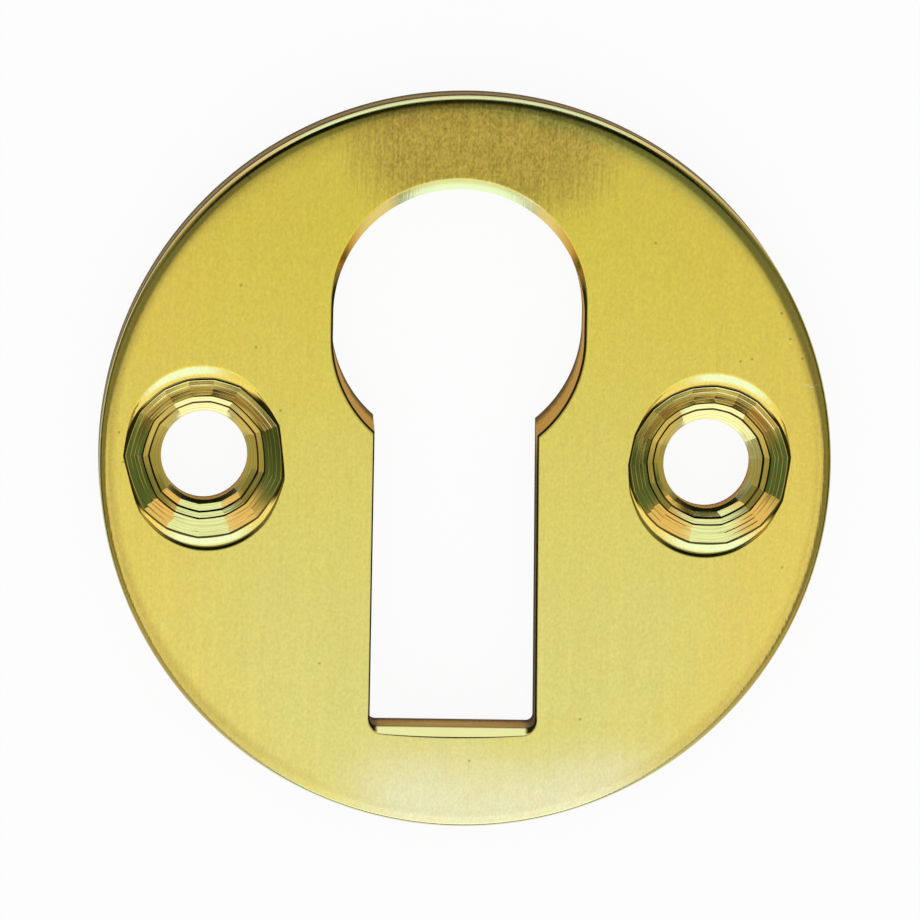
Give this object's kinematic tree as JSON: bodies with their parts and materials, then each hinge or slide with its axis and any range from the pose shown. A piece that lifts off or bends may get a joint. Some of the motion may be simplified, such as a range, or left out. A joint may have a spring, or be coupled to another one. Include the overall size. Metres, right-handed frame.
{
  "type": "keyhole escutcheon",
  "caption": "Flat round brass plate with a keyhole opening and countersunk screw holes, fixed over the keyhole of a lock in a door or drawer.",
  "frame": {"origin": "centre of the back face's outline, on the surface that the plate lies on or is screwed to", "axes": "+Z points out of the polished front face, along the thickness; +Y points towards the round end of the keyhole; +X is to the right when the front face is looked at with the round end up"},
  "size_m": [0.032, 0.032, 0.003],
  "materials": {
    "plate_brass": "satin yellow brass with fine brush lines along Y, edges rounded by mopping, bright chattered countersinks"
  },
  "bodies": {
    "root": {"escutcheon_plate": "plate_brass"}
  },
  "joints": []
}
